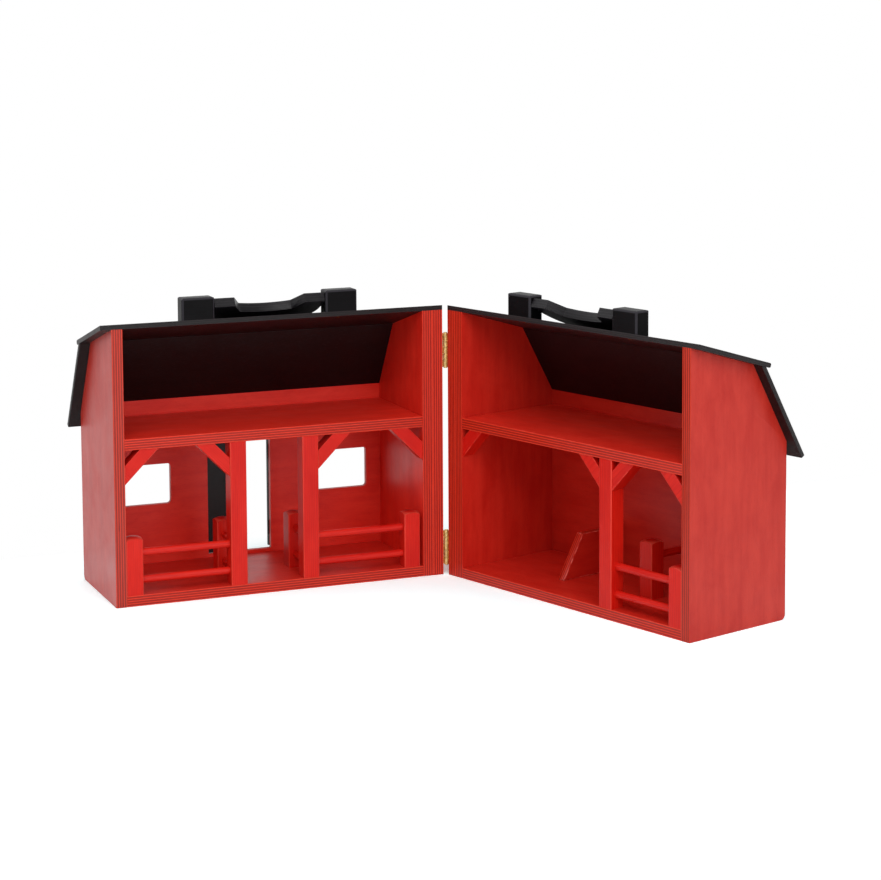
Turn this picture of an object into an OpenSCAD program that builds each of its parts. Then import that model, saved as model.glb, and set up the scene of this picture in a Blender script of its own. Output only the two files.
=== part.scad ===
// Toy barn that folds open like a book. Two half barns are hinged at one pair
// of end gables. Each half has a ground floor with stalls, a hay loft, a
// two-slope roof and one half of the carrying handle, which swings on pins
// between two blocks and lies back on the roof.
// The left half has windows and a pair of doors in its back wall.
// Inside a half, x runs from the hinge end to the far end, y from the open
// front to the back wall and z up from the surface that the barn stands on.

/* [Half barn] */
// Length of a half over its end gables
half_l = 376; // [350:1:420]
// Depth of a half from its open front to its back face
half_d = 141; // [132:1:160]
// Height of a gable at the ridge, under the roof board
ridge_h = 299.3; // [285:0.1:330]
// Thickness of the gables, the floor and the loft
board_t = 12; // [10:0.5:13]
// Thickness of the back wall
wall_t = 6; // [5.5:0.5:8]
// Radius of the rounded foot at the back of a gable
foot_r = 6; // [3:0.5:8]
// Height of the loft's top face
loft_z = 181.2; // [168:0.1:190]

/* [Roof] */
// Thickness of a roof board
roof_t = 5; // [4.5:0.5:7]
// Radius of the upper roof board's rounded lower edge
roof_edge_r = 2; // [1:0.1:2]
// Slope of the upper roof board in degrees
upper_pitch = 16; // [12:0.5:20]
// Slope of the lower, steep roof board in degrees
steep_pitch = 59.2; // [55:0.1:62]
// Distance from the open front to the knee between the two slopes
knee_y = 90; // [84:1:96]
// Length of the steep board past the gable's eave corner
eave_drop = 20.3; // [12:0.1:22]
// Length of the upper board past the steep board
nose_l = 5.6; // [3:0.1:8]
// Length of the roof past the far gable
end_overhang = 12; // [6:0.5:16]

/* [Posts and braces] */
// Width of a square post
post_w = 18.4; // [14:0.1:20]
// Radius of a post's eased long edges
post_r = 1.2; // [0.5:0.1:2]
// Distance from the middle of the walls to the left half's outer tall post
left_outer_post = 44.4; // [42:0.1:50]
// Distance from the middle of the walls to the left half's inner tall post
left_inner_post = 38; // [38:0.1:46]
// Distance from the middle of the walls to the right half's tall post
right_post = 59; // [56:0.5:64]
// Length of a left brace along the post and along the loft
left_brace_leg = 37.5; // [30:0.5:39]
// Length of a right brace along the post and along the loft
right_brace_leg = 32; // [28:0.5:39]
// Width of a brace across its grain
brace_w = 14.5; // [10:0.5:17]
// Depth of a brace from front to back
brace_d = 16.4; // [10:0.2:17]

/* [Fences] */
// Height of a fence post over the floor
fence_h = 63; // [58:1:72]
// Radius of the domed top of a fence post
dome_r = 23; // [16:1:40]
// Diameter of a fence rail
rail_d = 8.2; // [5:0.1:9]
// Height of the upper rail over the floor
upper_rail = 44.5; // [38:0.5:46]
// Height of the lower rail over the floor
lower_rail = 15; // [12:0.5:22]
// Depth of a rail's socket in a post
socket_l = 5; // [3:0.5:6]
// Radial play of a rail in its socket
socket_play = 0.05; // [0.02:0.01:0.1]
// Wood left between two sockets that meet in a post
socket_web = 0.8; // [0.5:0.1:1.2]
// Space between the left hinge gable and its fence post
near_fence_gap = 4; // [2:0.5:8]
// Space between a left tall post and the divider post behind it
divider_space = 32.6; // [28:0.1:38]
// Distance from the open front to the right half's stall post
stall_post_y = 59; // [50:0.5:66]

/* [Stall board] */
// Distance from the hinge end to the stall board
stall_board_x = 132; // [110:1:140]
// Thickness of the stall board
stall_board_t = 9; // [5:0.5:12]
// Height of the stall board over the floor
stall_board_h = 48; // [40:1:54]
// Distance from the open front to the foot of the board's slanted edge
stall_toe = 45; // [36:1:50]
// Distance from the open front to the head of the board's slanted edge
stall_head = 73.5; // [64:0.5:80]

/* [Windows and doorway] */
// Width of a window
window_w = 71; // [50:1:74]
// Height of a window
window_h = 45.7; // [36:0.1:50]
// Height of a window's sill over the base
window_z = 78.5; // [70:0.5:90]
// Radius of a window's corners
window_r = 3.5; // [2:0.5:6]
// Distance from the middle of the walls to the middle of a window
window_off = 117.3; // [114:0.1:120]
// Width of the doorway
doorway_w = 74.6; // [68:0.2:76]
// Distance from the middle of the walls to the middle of the doorway
doorway_off = 1.5; // [0:0.1:2]
// Height of the doorway's head over the base
doorway_top = 150; // [130:1:156]
// Height of the doorway's sill over the floor
doorway_sill = 4; // [2:0.5:6]

/* [Doors] */
// Thickness of a door leaf
door_t = 4; // [4:0.5:5.5]
// Play round a door leaf
door_play = 0.8; // [0.5:0.1:1.2]
// Opening angle of the door by the far window
far_door_angle = 0; // [0:1:170]
// Opening angle of the door by the near window
near_door_angle = 170; // [0:1:170]
// Diameter of a door knob
knob_d = 6; // [6:0.5:9]
// Diameter of a knob's neck
knob_neck_d = 4.6; // [4:0.1:5.5]
// Length of a door knob over the leaf
knob_l = 7; // [7:0.5:9.5]
// Distance from a leaf's free edge to its knob
knob_edge = 8; // [7:0.5:10]
// Height of a knob over the base
knob_z = 86; // [70:1:100]

/* [Main hinges] */
// Length of a main hinge
hinge_l = 38.1; // [32:0.1:44]
// Height of the lower hinge's foot over the base
hinge_low_z = 12; // [10:0.5:24]
// Height of the upper hinge's foot over the base
hinge_high_z = 235; // [200:0.5:236]
// Width of a hinge leaf from the pin's middle
hinge_w = 17; // [15:0.5:20]
// Thickness of a hinge leaf
hinge_t = 1.4; // [1.2:0.1:1.6]
// Radius of a hinge knuckle
knuckle_r = 2.7; // [2.4:0.1:2.9]
// Distance from the pin's middle to the gable faces
pin_gap = 3.5; // [3.4:0.1:3.7]
// Radius of a hinge pin
pin_r = 1.3; // [1:0.05:1.5]
// Space between the two open fronts when the barn is closed
closed_gap = 0.6; // [0.4:0.1:1]

/* [Door hinges] */
// Length of a door hinge
small_hinge_l = 16; // [12:0.5:20]
// Distance from a leaf's top or foot to its hinge
small_hinge_inset = 14; // [10:0.5:20]
// Width of a door hinge's leaf from the pin's middle
small_hinge_w = 8.5; // [7.5:0.5:10]
// Thickness of a door hinge's leaf
small_hinge_t = 0.8; // [0.7:0.1:0.9]
// Radius of a door hinge's knuckle
small_knuckle_r = 1.5; // [1.4:0.1:1.6]
// Distance from a door pin's middle to the wall's back face
small_pin_gap = 1.7; // [1.7:0.1:2.1]
// Radius of a door hinge's pin
small_pin_r = 0.7; // [0.5:0.05:0.8]

/* [Carrying handle] */
// Distance from the hinge end to the handle's middle
handle_x = 199.3; // [190:0.5:206]
// Length between the outer ends of the two blocks
handle_l = 198.5; // [190:0.5:206]
// Length of a handle block
block_l = 36.5; // [32:0.5:40]
// Depth of a handle block
block_d = 19; // [17:0.5:22]
// Height of a block's top over the gable's ridge
block_h = 28.7; // [26:0.1:32]
// Radius of a block's eased edges
block_r = 3; // [1:0.1:3]
// Thickness of the grip board
grip_t = 10; // [8:0.5:11]
// Distance from the open front to the grip's pivot
grip_pivot_y = 9.5; // [9:0.5:11]
// Height of the grip's pivot over the roof
grip_pivot_h = 16.2; // [15:0.1:18]
// Distance from the pivot to the grip's front edge
grip_lip = 7; // [5:0.5:7]
// Angle between the roof and the grip that lies back on it
grip_slope = 11; // [9:0.5:15]
// Radius of the grip's back corners
grip_corner_r = 40; // [15:1:42]
// Width of the finger scoop at the grip's front edge
scoop_w = 79; // [60:1:80]
// Width of the scoop where its sides meet its curved bottom
scoop_low_w = 59; // [40:1:62]
// Depth of the scoop at its sides
scoop_d = 19; // [12:0.5:20]
// Extra depth of the scoop in its middle
scoop_sag = 4; // [2:0.5:5]
// Play between a grip's end and its block
grip_play = 0.5; // [0.3:0.1:1]
// Radius of a grip's pivot pin
grip_pin_r = 2.5; // [2:0.1:3]
// Length of a pivot pin in the block and in the grip
grip_pin_l = 10; // [8:0.5:12]

/* [Pose] */
// Angle between the two open fronts, 0 when the barn is closed
open_angle = 107.5; // [0:0.5:180]
// Angle by which the left grip is raised off the roof
left_grip_angle = 0; // [0:1:110]
// Angle by which the right grip is raised off the roof
right_grip_angle = 0; // [0:1:110]

/* [Hidden] */
$fn = 64;
floor_z = board_t;
hinge_wall = 2 * board_t;
far_wall = half_l - board_t;
inside_l = far_wall - hinge_wall;
mid_x = (hinge_wall + far_wall) / 2;
inside_d = half_d - wall_t;
loft_low = loft_z - board_t;
knee_z = ridge_h - knee_y * tan(upper_pitch);
eave_z = knee_z - (half_d - knee_y) * tan(steep_pitch);
eave_low = eave_z - eave_drop * sin(steep_pitch);
roof_play = 1;
loft_d = min(inside_d, knee_y + (knee_z - loft_z) / tan(steep_pitch) - roof_play);
roof_rise = roof_t / cos(upper_pitch);
roof_l = half_l + end_overhang;
bevel_y = roof_t / cos(steep_pitch) / (tan(steep_pitch) - tan(upper_pitch));
outer_post_x = mid_x + left_outer_post;
inner_post_x = mid_x - left_inner_post;
right_post_x = mid_x + right_post;
far_fence_x = far_wall - post_w / 2;
near_fence_x = hinge_wall + near_fence_gap + post_w / 2;
divider_y = post_w + divider_space;
rail_zs = [floor_z + lower_rail, floor_z + upper_rail];
rail_y = post_w / 2;
divider_socket = (post_w - rail_d) / 2 - socket_web;
doorway_x = mid_x + doorway_off;
sill_z = floor_z + doorway_sill;
head_z = min(doorway_top, eave_low - roof_play);
door_w = doorway_w / 2 - 1.5 * door_play;
door_h = head_z - sill_z - 2 * door_play;
door_z = sill_z + door_play;
small_hinge_zs = [door_z + small_hinge_inset, door_z + door_h - small_hinge_inset - small_hinge_l];
hinge_top = ridge_h - hinge_w * tan(upper_pitch) - roof_play;
main_hinge_zs = [hinge_low_z, min(hinge_high_z, hinge_top - hinge_l)];
knuckles = 5;
knuckle_play = 0.15;
leaf_play = 0.15;
pin_play = 0.04;
swing_play = 0.3;
screw_r = 1.3;
screw_head_r = 2.4;
screw_l = 9.5;
small_screw_r = 0.6;
small_screw_head_r = 1.2;
small_screw_l = 4.4;
block_screw_r = 1.6;
block_screw_head_r = 3.1;
block_screw_l = roof_t + 6;
screw_drive_w = 0.5;
knob_pin_r = 1.5;
knob_pin_l = 3;
near_block_x = handle_x - handle_l / 2;
far_block_x = handle_x + handle_l / 2 - block_l;
grip_x0 = near_block_x + block_l + grip_play;
grip_l = far_block_x - grip_play - grip_x0;
grip_pivot_z = ridge_h + roof_rise - grip_pivot_y * tan(upper_pitch) + grip_pivot_h;
grip_rest_play = 0.3;
grip_w = (grip_pivot_h * cos(upper_pitch) - grip_t / 2 * cos(grip_slope) - grip_rest_play) / sin(grip_slope);
grip_tilt = upper_pitch + grip_slope;
grip_pin_play = 0.06;

red = [0.78, 0.16, 0.13];
dark_red = [0.66, 0.12, 0.10];
roof_black = [0.13, 0.11, 0.11];
handle_black = [0.17, 0.16, 0.17];
brass = [0.80, 0.62, 0.36];
steel_black = [0.15, 0.13, 0.13];

// Places of the two halves
module place_left() {
    translate([half_l / 2, -half_d / 2, 0]) mirror([1, 0, 0]) children();
}

module place_right() {
    translate([half_l / 2 + pin_gap, -half_d / 2 - closed_gap / 2, 0])
        rotate([0, 0, open_angle - 180])
            translate([pin_gap, closed_gap / 2, 0])
                children();
}

// Places in a half. A door is drawn with its pin at the origin, its leaf
// along x and its outer face small_pin_gap inside the pin
module at_far_jamb() {
    translate([doorway_x + doorway_w / 2, half_d + small_pin_gap, 0]) mirror([1, 0, 0]) children();
}

module at_near_jamb() {
    translate([doorway_x - doorway_w / 2, half_d + small_pin_gap, 0]) children();
}

// The grip is drawn level, with its pivot at the origin of y and z
module at_grip(angle) {
    translate([grip_x0, grip_pivot_y, grip_pivot_z]) rotate([angle - grip_tilt, 0, 0]) children();
}

module at_block_screws() {
    for (x = [near_block_x, far_block_x])
        translate([x + block_l / 2, block_d / 2, ridge_h - block_d / 2 * tan(upper_pitch)])
            rotate([-upper_pitch, 0, 0])
                children();
}

module at_hinge_screws() {
    for (z0 = main_hinge_zs, i = [0 : 2])
        translate([-hinge_t, hinge_w * (i == 1 ? 0.72 : 0.42), z0 + hinge_l * (1 + 2 * i) / 6])
            rotate([0, 90, 0])
                children();
}

// Screws of the door hinges, on the wall's side (-1) or the door's side (1)
module at_small_screws(side) {
    for (z0 = small_hinge_zs, i = [0, 1])
        translate([side * small_hinge_w * 0.64, small_hinge_t - small_pin_gap, z0 + small_hinge_l * (1 + 2 * i) / 4])
            rotate([90, 0, 0])
                children();
}

// Flat shapes
module rounded_rect(size, r) {
    translate([r, 0]) square([size[0] - 2 * r, size[1]]);
    translate([0, r]) square([size[0], size[1] - 2 * r]);
    for (x = [r, size[0] - r], y = [r, size[1] - r])
        translate([x, y]) circle(r);
}

// Draws a flat shape of (y, z) as a board that runs along x
module along_x(length) {
    rotate([90, 0, 90]) linear_extrude(length) children();
}

// Draws a flat shape of (x, z) as a board that runs along y
module along_y(length) {
    translate([0, length, 0]) rotate([90, 0, 0]) linear_extrude(length) children();
}

// Countersunk screw with a cross in its head, and the hole that takes it
module screw(r, head_r, length) {
    difference() {
        union() {
            cylinder(r1 = head_r, r2 = r, h = head_r - r);
            cylinder(r = r, h = length);
        }
        for (turn = [0, 90])
            rotate([0, 0, turn])
                translate([-head_r * 0.6, -screw_drive_w / 2, -1])
                    cube([head_r * 1.2, screw_drive_w, 1 + (head_r - r) * 0.6]);
    }
}

module screw_hole(r, head_r, length) {
    translate([0, 0, -1]) cylinder(r = head_r, h = 1);
    cylinder(r1 = head_r, r2 = r, h = head_r - r);
    cylinder(r = r, h = length);
}

// Boards of a half
module gable_outline() {
    polygon([
        [0, 0], [half_d - foot_r, 0], [half_d - foot_r, foot_r], [half_d, foot_r],
        [half_d, eave_z], [knee_y, knee_z], [0, ridge_h]
    ]);
    translate([half_d - foot_r, foot_r]) circle(foot_r);
}

module gable(x) {
    translate([x, 0, 0]) along_x(board_t) gable_outline();
}

module hinge_facing() {
    difference() {
        gable(0);
        at_hinge_screws() cylinder(r = screw_r, h = screw_l);
    }
}

module floor_board() {
    translate([hinge_wall, 0, 0]) cube([inside_l, inside_d, board_t]);
}

module loft_board() {
    translate([hinge_wall, 0, loft_low]) cube([inside_l, loft_d, board_t]);
}

module plain_wall() {
    intersection() {
        translate([hinge_wall, 0, 0]) along_x(inside_l) gable_outline();
        translate([hinge_wall - 1, inside_d, -1]) cube([inside_l + 2, wall_t + 1, ridge_h]);
    }
}

module wall_cut(x, z, size, r) {
    translate([x - size[0] / 2, inside_d - 1, z]) along_y(wall_t + 2) rounded_rect(size, r);
}

module left_wall() {
    difference() {
        plain_wall();
        for (side = [-1, 1])
            wall_cut(mid_x + side * window_off, window_z, [window_w, window_h], window_r);
        wall_cut(doorway_x, sill_z, [doorway_w, head_z - sill_z], 1);
        at_far_jamb() at_small_screws(-1) cylinder(r = small_screw_r, h = small_screw_l);
        at_near_jamb() at_small_screws(-1) cylinder(r = small_screw_r, h = small_screw_l);
    }
}

// Roof boards
function upper_point(along, out) = [
    along * cos(upper_pitch) + out * sin(upper_pitch),
    ridge_h - along * sin(upper_pitch) + out * cos(upper_pitch)
];

function steep_point(along, out) = [
    knee_y + along * cos(steep_pitch) + out * sin(steep_pitch),
    knee_z - along * sin(steep_pitch) + out * cos(steep_pitch)
];

module upper_roof_outline() {
    end = (knee_y + bevel_y + nose_l) / cos(upper_pitch);
    r = roof_edge_r;
    polygon([
        [0, ridge_h], upper_point(end - r, 0), upper_point(end - r, r), upper_point(end, r),
        upper_point(end, roof_t - r), upper_point(end - r, roof_t - r), upper_point(end - r, roof_t),
        [0, ridge_h + roof_rise]
    ]);
    translate(upper_point(end - r, r)) circle(r);
    translate(upper_point(end - r, roof_t - r)) circle(r);
}

module steep_roof_outline() {
    length = (half_d - knee_y) / cos(steep_pitch) + eave_drop;
    polygon([
        [knee_y, knee_z], steep_point(length, 0), steep_point(length, roof_t),
        [knee_y + bevel_y, knee_z - bevel_y * tan(upper_pitch)]
    ]);
}

module upper_roof() {
    difference() {
        along_x(roof_l) upper_roof_outline();
        at_block_screws() screw_hole(block_screw_r, block_screw_head_r, block_screw_l);
    }
}

module steep_roof() {
    along_x(roof_l) steep_roof_outline();
}

// Posts, braces and fences
module post_section() {
    translate([-post_w / 2, 0]) rounded_rect([post_w, post_w], post_r);
}

module tall_post(x) {
    translate([x, 0, floor_z]) linear_extrude(loft_low - floor_z) post_section();
}

module fence_post(x, y) {
    intersection() {
        translate([x, y, floor_z]) linear_extrude(fence_h) post_section();
        translate([x, y + post_w / 2, floor_z + fence_h - dome_r]) {
            sphere(dome_r);
            translate([0, 0, -fence_h]) cylinder(r = dome_r, h = fence_h);
        }
    }
}

// A brace in the corner of an upright face at x and the loft, towards side
module brace(x, side, leg) {
    cut = brace_w * sqrt(2);
    translate([x, (post_w - brace_d) / 2, loft_low]) along_y(brace_d)
        polygon([
            [0, -leg], [0, cut - leg],
            [side * (leg - cut), 0], [side * leg, 0]
        ]);
}

module rails_x(x0, x1, play) {
    for (z = rail_zs)
        translate([x0 - socket_l, rail_y, z]) rotate([0, 90, 0])
            cylinder(r = rail_d / 2 + play, h = x1 - x0 + 2 * socket_l);
}

module rails_y(x, y0, y1, play) {
    for (z = rail_zs)
        translate([x, y0, z]) rotate([-90, 0, 0])
            cylinder(r = rail_d / 2 + play, h = y1 - y0);
}

// Rails of each fence, with play 0, or their sockets, with socket_play
module left_far_rail_set(play) {
    rails_x(outer_post_x + post_w / 2, far_wall - post_w, play);
}

module left_near_rail_set(play) {
    rails_x(near_fence_x + post_w / 2, inner_post_x - post_w / 2, play);
}

module left_divider_rail_set(play) {
    for (x = [inner_post_x, outer_post_x])
        rails_y(x, post_w - divider_socket, divider_y + divider_socket, play);
}

module right_far_rail_set(play) {
    rails_x(right_post_x + post_w / 2, far_wall - post_w, play);
}

module right_stall_rail_set(play) {
    rails_y(right_post_x, stall_post_y + post_w - socket_l, inside_d, play);
}

module stall_board() {
    translate([stall_board_x, 0, floor_z]) along_x(stall_board_t)
        polygon([
            [stall_toe, 0], [inside_d, 0],
            [inside_d, stall_board_h], [stall_head, stall_board_h]
        ]);
}

// Carrying handle
module handle_block(x) {
    bore_x = x < handle_x ? x + block_l - grip_pin_l : x - 1;
    difference() {
        intersection() {
            translate([x, 0, 0]) linear_extrude(ridge_h + block_h) rounded_rect([block_l, block_d], block_r);
            translate([x, 0, ridge_h - block_d]) along_x(block_l)
                rounded_rect([block_d, block_h + block_d], block_r);
            translate([x, 0, ridge_h - block_d]) along_y(block_d)
                rounded_rect([block_l, block_h + block_d], block_r);
        }
        along_x(half_l) polygon([
            [-1, ridge_h + roof_rise + tan(upper_pitch)],
            [knee_y, ridge_h + roof_rise - knee_y * tan(upper_pitch)],
            [knee_y, 0], [-1, 0]
        ]);
        at_block_screws() cylinder(r = block_screw_r, h = block_screw_l);
        translate([bore_x, grip_pivot_y, grip_pivot_z]) rotate([0, 90, 0])
            cylinder(r = grip_pin_r, h = grip_pin_l + 1);
    }
}

module grip_outline() {
    sag_r = ((scoop_low_w / 2) ^ 2 + scoop_sag ^ 2) / (2 * scoop_sag);
    straight = grip_w - grip_corner_r;
    difference() {
        union() {
            translate([0, -grip_lip]) square([grip_l, straight + grip_lip]);
            translate([grip_corner_r, -grip_lip]) square([grip_l - 2 * grip_corner_r, grip_w + grip_lip]);
            intersection() {
                translate([0, straight]) square([grip_l, grip_corner_r]);
                for (x = [grip_corner_r, grip_l - grip_corner_r])
                    translate([x, straight]) circle(grip_corner_r);
            }
        }
        translate([handle_x - grip_x0, -grip_lip]) {
            polygon([
                [-scoop_w / 2, 0], [-scoop_w / 2, -1], [scoop_w / 2, -1], [scoop_w / 2, 0],
                [scoop_low_w / 2, scoop_d], [-scoop_low_w / 2, scoop_d]
            ]);
            intersection() {
                translate([0, scoop_d + scoop_sag - sag_r]) circle(sag_r);
                translate([-scoop_low_w / 2, scoop_d - 1]) square([scoop_low_w, scoop_sag + 2]);
            }
        }
    }
}

module grip(angle) {
    at_grip(angle) difference() {
        translate([0, 0, -grip_t / 2]) linear_extrude(grip_t) grip_outline();
        for (x = [-1, grip_l - grip_pin_l])
            translate([x, 0, 0]) rotate([0, 90, 0])
                cylinder(r = grip_pin_r + grip_pin_play, h = grip_pin_l + 1);
    }
}

module grip_pins() {
    for (x = [near_block_x + block_l - grip_pin_l, far_block_x - grip_pin_l])
        translate([x, grip_pivot_y, grip_pivot_z]) rotate([0, 90, 0])
            cylinder(r = grip_pin_r, h = 2 * grip_pin_l);
}

module block_screws() {
    at_block_screws() screw(block_screw_r, block_screw_head_r, block_screw_l);
}

// Hinges. A leaf takes its own knuckles and leaves room for the others
module knuckle_ring(r, bore_r, length, k) {
    step = length / knuckles;
    translate([0, 0, k * step + knuckle_play / 2])
        difference() {
            cylinder(r = r, h = step - knuckle_play);
            translate([0, 0, -1]) cylinder(r = bore_r, h = step + 2);
        }
}

module knuckle_room(r, length, k) {
    step = length / knuckles;
    translate([0, 0, k * step - knuckle_play / 2])
        cylinder(r = r + swing_play, h = step + knuckle_play);
}

// Main hinge leaf on the outer face of a half's facing
module hinge_leaf(z0, own, other) {
    translate([-pin_gap, -closed_gap / 2, z0]) {
        difference() {
            translate([pin_gap - hinge_t, leaf_play, knuckle_play / 2])
                cube([hinge_t, hinge_w - leaf_play, hinge_l - knuckle_play]);
            for (k = other)
                knuckle_room(knuckle_r, hinge_l, k);
        }
        for (k = own)
            knuckle_ring(knuckle_r, pin_r + pin_play, hinge_l, k);
    }
}

module hinge_leaves(own, other) {
    difference() {
        for (z0 = main_hinge_zs)
            hinge_leaf(z0, own, other);
        at_hinge_screws() screw_hole(screw_r, screw_head_r, screw_l);
    }
}

module hinge_screws() {
    at_hinge_screws() screw(screw_r, screw_head_r, screw_l);
}

module hinge_pins() {
    for (z0 = main_hinge_zs)
        translate([-pin_gap, -closed_gap / 2, z0]) {
            cylinder(r = pin_r, h = hinge_l);
            for (z = [knuckle_play / 2 - 1, hinge_l - knuckle_play / 2])
                translate([0, 0, z]) cylinder(r = knuckle_r - 0.6, h = 1);
        }
}

// Door hinge leaf with the pin at the origin, on the wall (-1) or the door (1)
module small_leaf(side, own, other) {
    difference() {
        translate([side < 0 ? -small_hinge_w : leaf_play, -small_pin_gap, knuckle_play / 2])
            cube([small_hinge_w - leaf_play, small_hinge_t, small_hinge_l - knuckle_play]);
        for (k = other)
            knuckle_room(small_knuckle_r, small_hinge_l, k);
    }
    for (k = own)
        knuckle_ring(small_knuckle_r, small_pin_r + pin_play, small_hinge_l, k);
}

module small_leaves(side, own, other) {
    difference() {
        for (z0 = small_hinge_zs)
            translate([0, 0, z0]) small_leaf(side, own, other);
        at_small_screws(side) screw_hole(small_screw_r, small_screw_head_r, small_screw_l);
    }
}

module small_screws(side) {
    at_small_screws(side) screw(small_screw_r, small_screw_head_r, small_screw_l);
}

module small_pins() {
    for (z0 = small_hinge_zs)
        translate([0, 0, z0]) {
            cylinder(r = small_pin_r, h = small_hinge_l);
            for (z = [knuckle_play / 2 - 0.6, small_hinge_l - knuckle_play / 2])
                translate([0, 0, z]) cylinder(r = small_knuckle_r - 0.3, h = 0.6);
        }
}

// The knob's foot, with z pointing into the leaf
module at_knob() {
    translate([door_play + door_w - knob_edge, -small_pin_gap, knob_z]) rotate([90, 0, 0]) children();
}

// Door leaf and knob
module door() {
    difference() {
        translate([door_play, -small_pin_gap - door_t, door_z]) cube([door_w, door_t, door_h]);
        at_small_screws(1) cylinder(r = small_screw_r, h = small_screw_l);
        at_knob() cylinder(r = knob_pin_r, h = knob_pin_l);
    }
}

module knob() {
    at_knob() {
        cylinder(r = knob_pin_r, h = knob_pin_l);
        translate([0, 0, -knob_l]) {
            translate([0, 0, knob_d / 2]) sphere(knob_d / 2);
            translate([0, 0, knob_d / 2]) cylinder(d = knob_neck_d, h = knob_l - knob_d / 2);
        }
    }
}

// Pieces of the barn
module left_far_gable() { color(red) place_left() gable(far_wall); }
module left_hinge_gable() { color(red) place_left() gable(board_t); }
module left_hinge_facing() { color(red) place_left() hinge_facing(); }
module left_back_wall() { color(dark_red) place_left() left_wall(); }
module left_floor() { color(red) place_left() floor_board(); }
module left_loft() { color(red) place_left() loft_board(); }
module left_upper_roof() { color(roof_black) place_left() upper_roof(); }
module left_steep_roof() { color(roof_black) place_left() steep_roof(); }

module left_outer_post() {
    color(red) place_left() difference() {
        tall_post(outer_post_x);
        left_far_rail_set(socket_play);
        left_divider_rail_set(socket_play);
    }
}

module left_inner_post() {
    color(red) place_left() difference() {
        tall_post(inner_post_x);
        left_near_rail_set(socket_play);
        left_divider_rail_set(socket_play);
    }
}

module left_braces() {
    color(red) place_left() {
        brace(far_wall, -1, left_brace_leg);
        brace(outer_post_x + post_w / 2, 1, left_brace_leg);
        brace(inner_post_x - post_w / 2, -1, left_brace_leg);
        brace(hinge_wall, 1, left_brace_leg);
    }
}

module left_far_fence_post() {
    color(red) place_left() difference() {
        fence_post(far_fence_x, 0);
        left_far_rail_set(socket_play);
    }
}

module left_near_fence_post() {
    color(red) place_left() difference() {
        fence_post(near_fence_x, 0);
        left_near_rail_set(socket_play);
    }
}

module left_outer_divider_post() {
    color(red) place_left() difference() {
        fence_post(outer_post_x, divider_y);
        left_divider_rail_set(socket_play);
    }
}

module left_inner_divider_post() {
    color(red) place_left() difference() {
        fence_post(inner_post_x, divider_y);
        left_divider_rail_set(socket_play);
    }
}

module left_far_rails() { color(red) place_left() left_far_rail_set(0); }
module left_near_rails() { color(red) place_left() left_near_rail_set(0); }
module left_divider_rails() { color(red) place_left() left_divider_rail_set(0); }
module left_near_block() { color(handle_black) place_left() handle_block(near_block_x); }
module left_far_block() { color(handle_black) place_left() handle_block(far_block_x); }
module left_grip() { color(handle_black) place_left() grip(left_grip_angle); }
module left_grip_pins() { color(handle_black) place_left() grip_pins(); }
module left_block_screws() { color(brass) place_left() block_screws(); }
module left_hinge_leaves() { color(brass) place_left() hinge_leaves([0, 2, 4], [1, 3]); }
module left_hinge_screws() { color(brass) place_left() hinge_screws(); }
module main_hinge_pins() { color(brass) place_left() hinge_pins(); }

module swung_far_door() {
    place_left()
        translate([doorway_x + doorway_w / 2, half_d + small_pin_gap, 0])
            rotate([0, 0, -far_door_angle])
                mirror([1, 0, 0])
                    children();
}

module swung_near_door() {
    place_left()
        translate([doorway_x - doorway_w / 2, half_d + small_pin_gap, 0])
            rotate([0, 0, near_door_angle])
                children();
}

module far_door() { color(roof_black) swung_far_door() door(); }
module far_door_knob() { color(roof_black) swung_far_door() knob(); }
module far_door_leaves() { color(steel_black) swung_far_door() small_leaves(1, [1, 3], [0, 2, 4]); }
module far_door_screws() { color(steel_black) swung_far_door() small_screws(1); }
module near_door() { color(roof_black) swung_near_door() door(); }
module near_door_knob() { color(roof_black) swung_near_door() knob(); }
module near_door_leaves() { color(steel_black) swung_near_door() small_leaves(1, [1, 3], [0, 2, 4]); }
module near_door_screws() { color(steel_black) swung_near_door() small_screws(1); }

module wall_hinge_leaves() {
    color(steel_black) place_left() {
        at_far_jamb() small_leaves(-1, [0, 2, 4], [1, 3]);
        at_near_jamb() small_leaves(-1, [0, 2, 4], [1, 3]);
    }
}

module wall_hinge_screws() {
    color(steel_black) place_left() {
        at_far_jamb() small_screws(-1);
        at_near_jamb() small_screws(-1);
    }
}

module door_hinge_pins() {
    color(steel_black) place_left() {
        at_far_jamb() small_pins();
        at_near_jamb() small_pins();
    }
}

module right_far_gable() { color(red) place_right() gable(far_wall); }
module right_hinge_gable() { color(red) place_right() gable(board_t); }
module right_hinge_facing() { color(red) place_right() hinge_facing(); }
module right_back_wall() { color(dark_red) place_right() plain_wall(); }
module right_floor() { color(red) place_right() floor_board(); }
module right_loft() { color(red) place_right() loft_board(); }
module right_upper_roof() { color(roof_black) place_right() upper_roof(); }
module right_steep_roof() { color(roof_black) place_right() steep_roof(); }

module right_tall_post() {
    color(red) place_right() difference() {
        tall_post(right_post_x);
        right_far_rail_set(socket_play);
    }
}

module right_braces() {
    color(red) place_right() {
        brace(hinge_wall, 1, right_brace_leg);
        brace(right_post_x - post_w / 2, -1, right_brace_leg);
        brace(right_post_x + post_w / 2, 1, right_brace_leg);
        brace(far_wall, -1, right_brace_leg);
    }
}

module right_far_fence_post() {
    color(red) place_right() difference() {
        fence_post(far_fence_x, 0);
        right_far_rail_set(socket_play);
    }
}

module right_stall_post() {
    color(red) place_right() difference() {
        fence_post(right_post_x, stall_post_y);
        right_stall_rail_set(socket_play);
    }
}

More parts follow.
